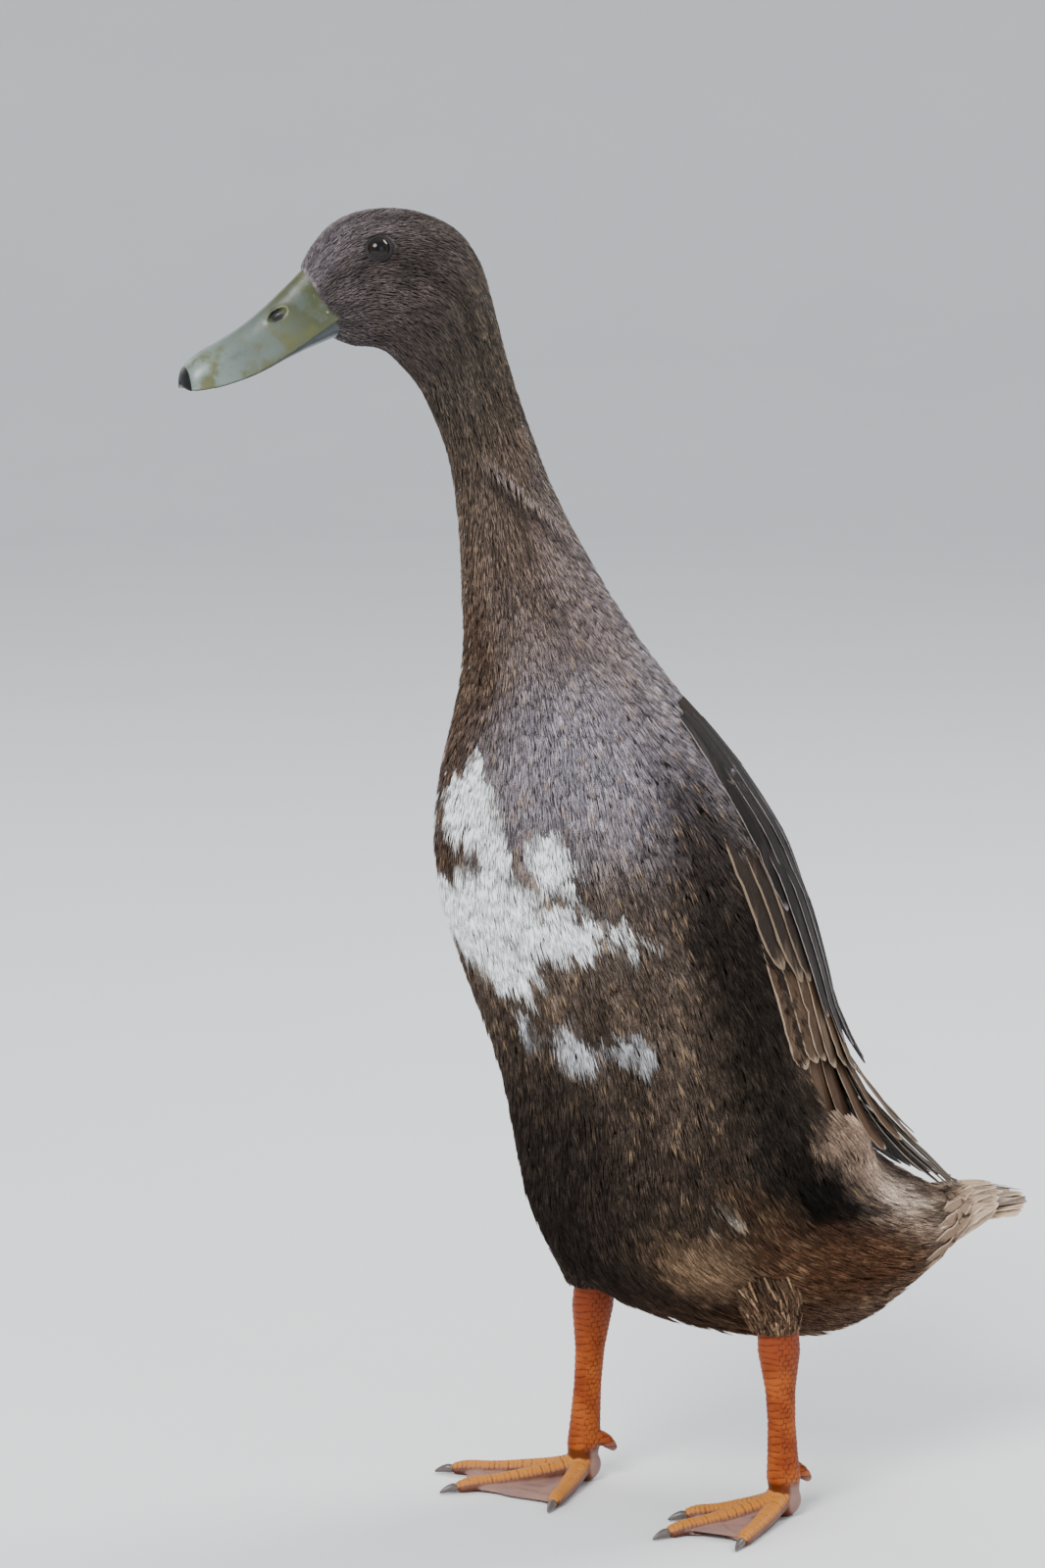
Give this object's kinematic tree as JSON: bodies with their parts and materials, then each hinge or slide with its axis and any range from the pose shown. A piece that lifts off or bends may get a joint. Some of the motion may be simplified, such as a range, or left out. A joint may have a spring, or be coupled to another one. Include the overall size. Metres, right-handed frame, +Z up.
{
  "type": "indian runner duck, still life-size model",
  "caption": "Upright runner duck standing with one foot ahead: long neck, slim body, folded wings, short tail, webbed orange feet.",
  "frame": {"origin": "middle of the bounding box's base, on the ground under the body", "axes": "+X the way the duck faces, +Y to its left, +Z up"},
  "size_m": [0.3991, 0.1577, 0.5772],
  "materials": {
    "head_down": "soft, matt plumage",
    "neck_down": "soft, matt plumage",
    "breast_plumage": "soft, matt plumage",
    "belly_plumage": "soft, matt plumage",
    "rump_plumage": "soft, matt plumage",
    "wing_vanes": "satin feather vanes",
    "tail_vanes": "satin feather vanes",
    "bill_horn": "smooth horn with a low gloss",
    "bill_nail": "smooth dark horn",
    "eye": "wet gloss",
    "leg_scales": "scaly skin",
    "claw_horn": "dark horn"
  },
  "bodies": {
    "root": {"head": "head_down", "neck_upper": "neck_down", "neck_lower": "neck_down", "breast": "breast_plumage", "belly": "belly_plumage", "rump": "rump_plumage", "tail": "tail_vanes", "wing_L": "wing_vanes", "wing_R": "wing_vanes", "bill_upper": "bill_horn", "bill_lower": "bill_horn", "bill_nail": "bill_nail", "eye_L": "eye", "eye_R": "eye", "thigh_L": "belly_plumage", "thigh_R": "belly_plumage", "shank_L": "leg_scales", "shank_R": "leg_scales", "foot_L": "leg_scales", "foot_R": "leg_scales", "hallux_L": "leg_scales", "hallux_R": "leg_scales", "claw_inner_L": "claw_horn", "claw_middle_L": "claw_horn", "claw_outer_L": "claw_horn", "claw_inner_R": "claw_horn", "claw_middle_R": "claw_horn", "claw_outer_R": "claw_horn"}
  },
  "joints": []
}
